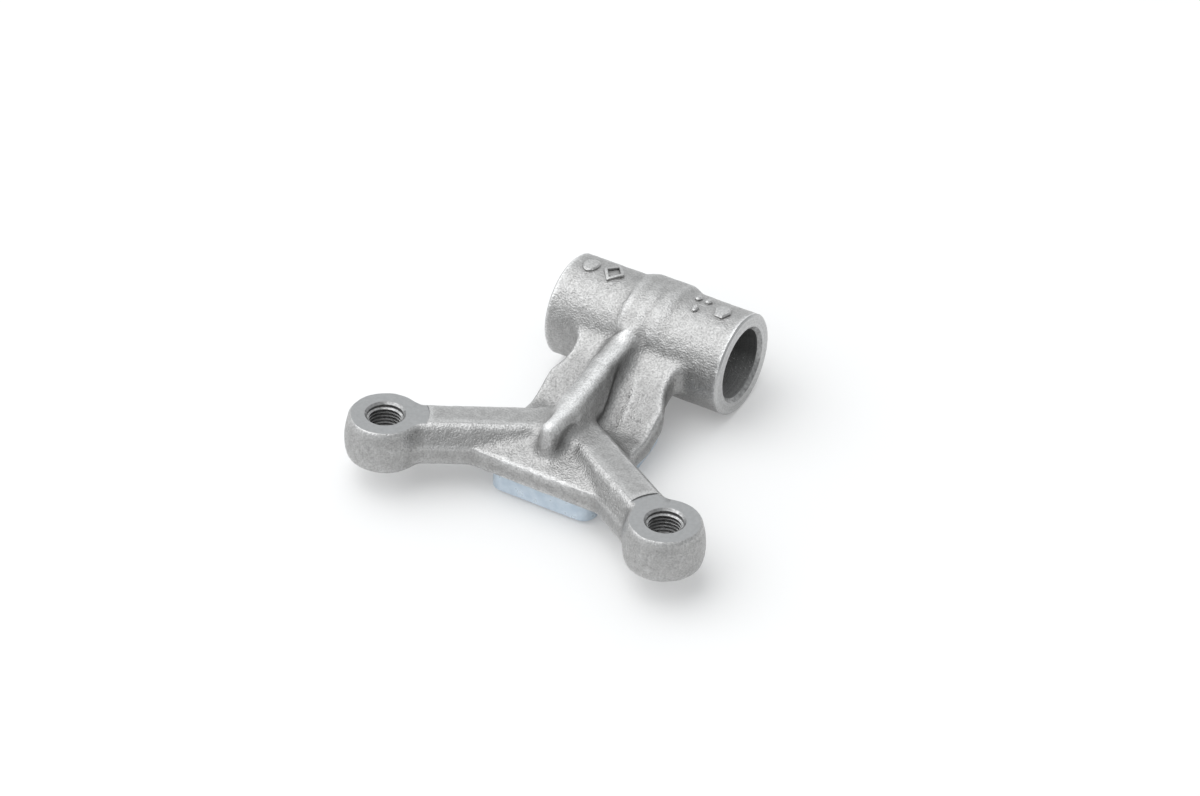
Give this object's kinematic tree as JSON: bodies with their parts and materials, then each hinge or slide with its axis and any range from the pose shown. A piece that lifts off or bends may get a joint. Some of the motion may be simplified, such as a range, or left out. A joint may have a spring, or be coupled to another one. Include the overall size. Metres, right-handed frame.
{
  "type": "rocker arm",
  "caption": "Forked rocker arm: a pivot tube, a ribbed plate with a curved wearing pad below, and arms ending in threaded eyes.",
  "frame": {"origin": "middle of the pivot tube's axis", "axes": "+X along the pivot tube, +Y from the eyes towards the tube, +Z along the thread holes, away from the wearing pad"},
  "size_m": [0.0762, 0.0665, 0.0255],
  "materials": {
    "forged_steel": "shot-blasted forged steel, machined on the eye faces, tube ends and bores",
    "pad_facing": "ground and lapped hard facing"
  },
  "bodies": {
    "root": {"arm_forging": "forged_steel", "cam_pad": "pad_facing"}
  },
  "joints": []
}
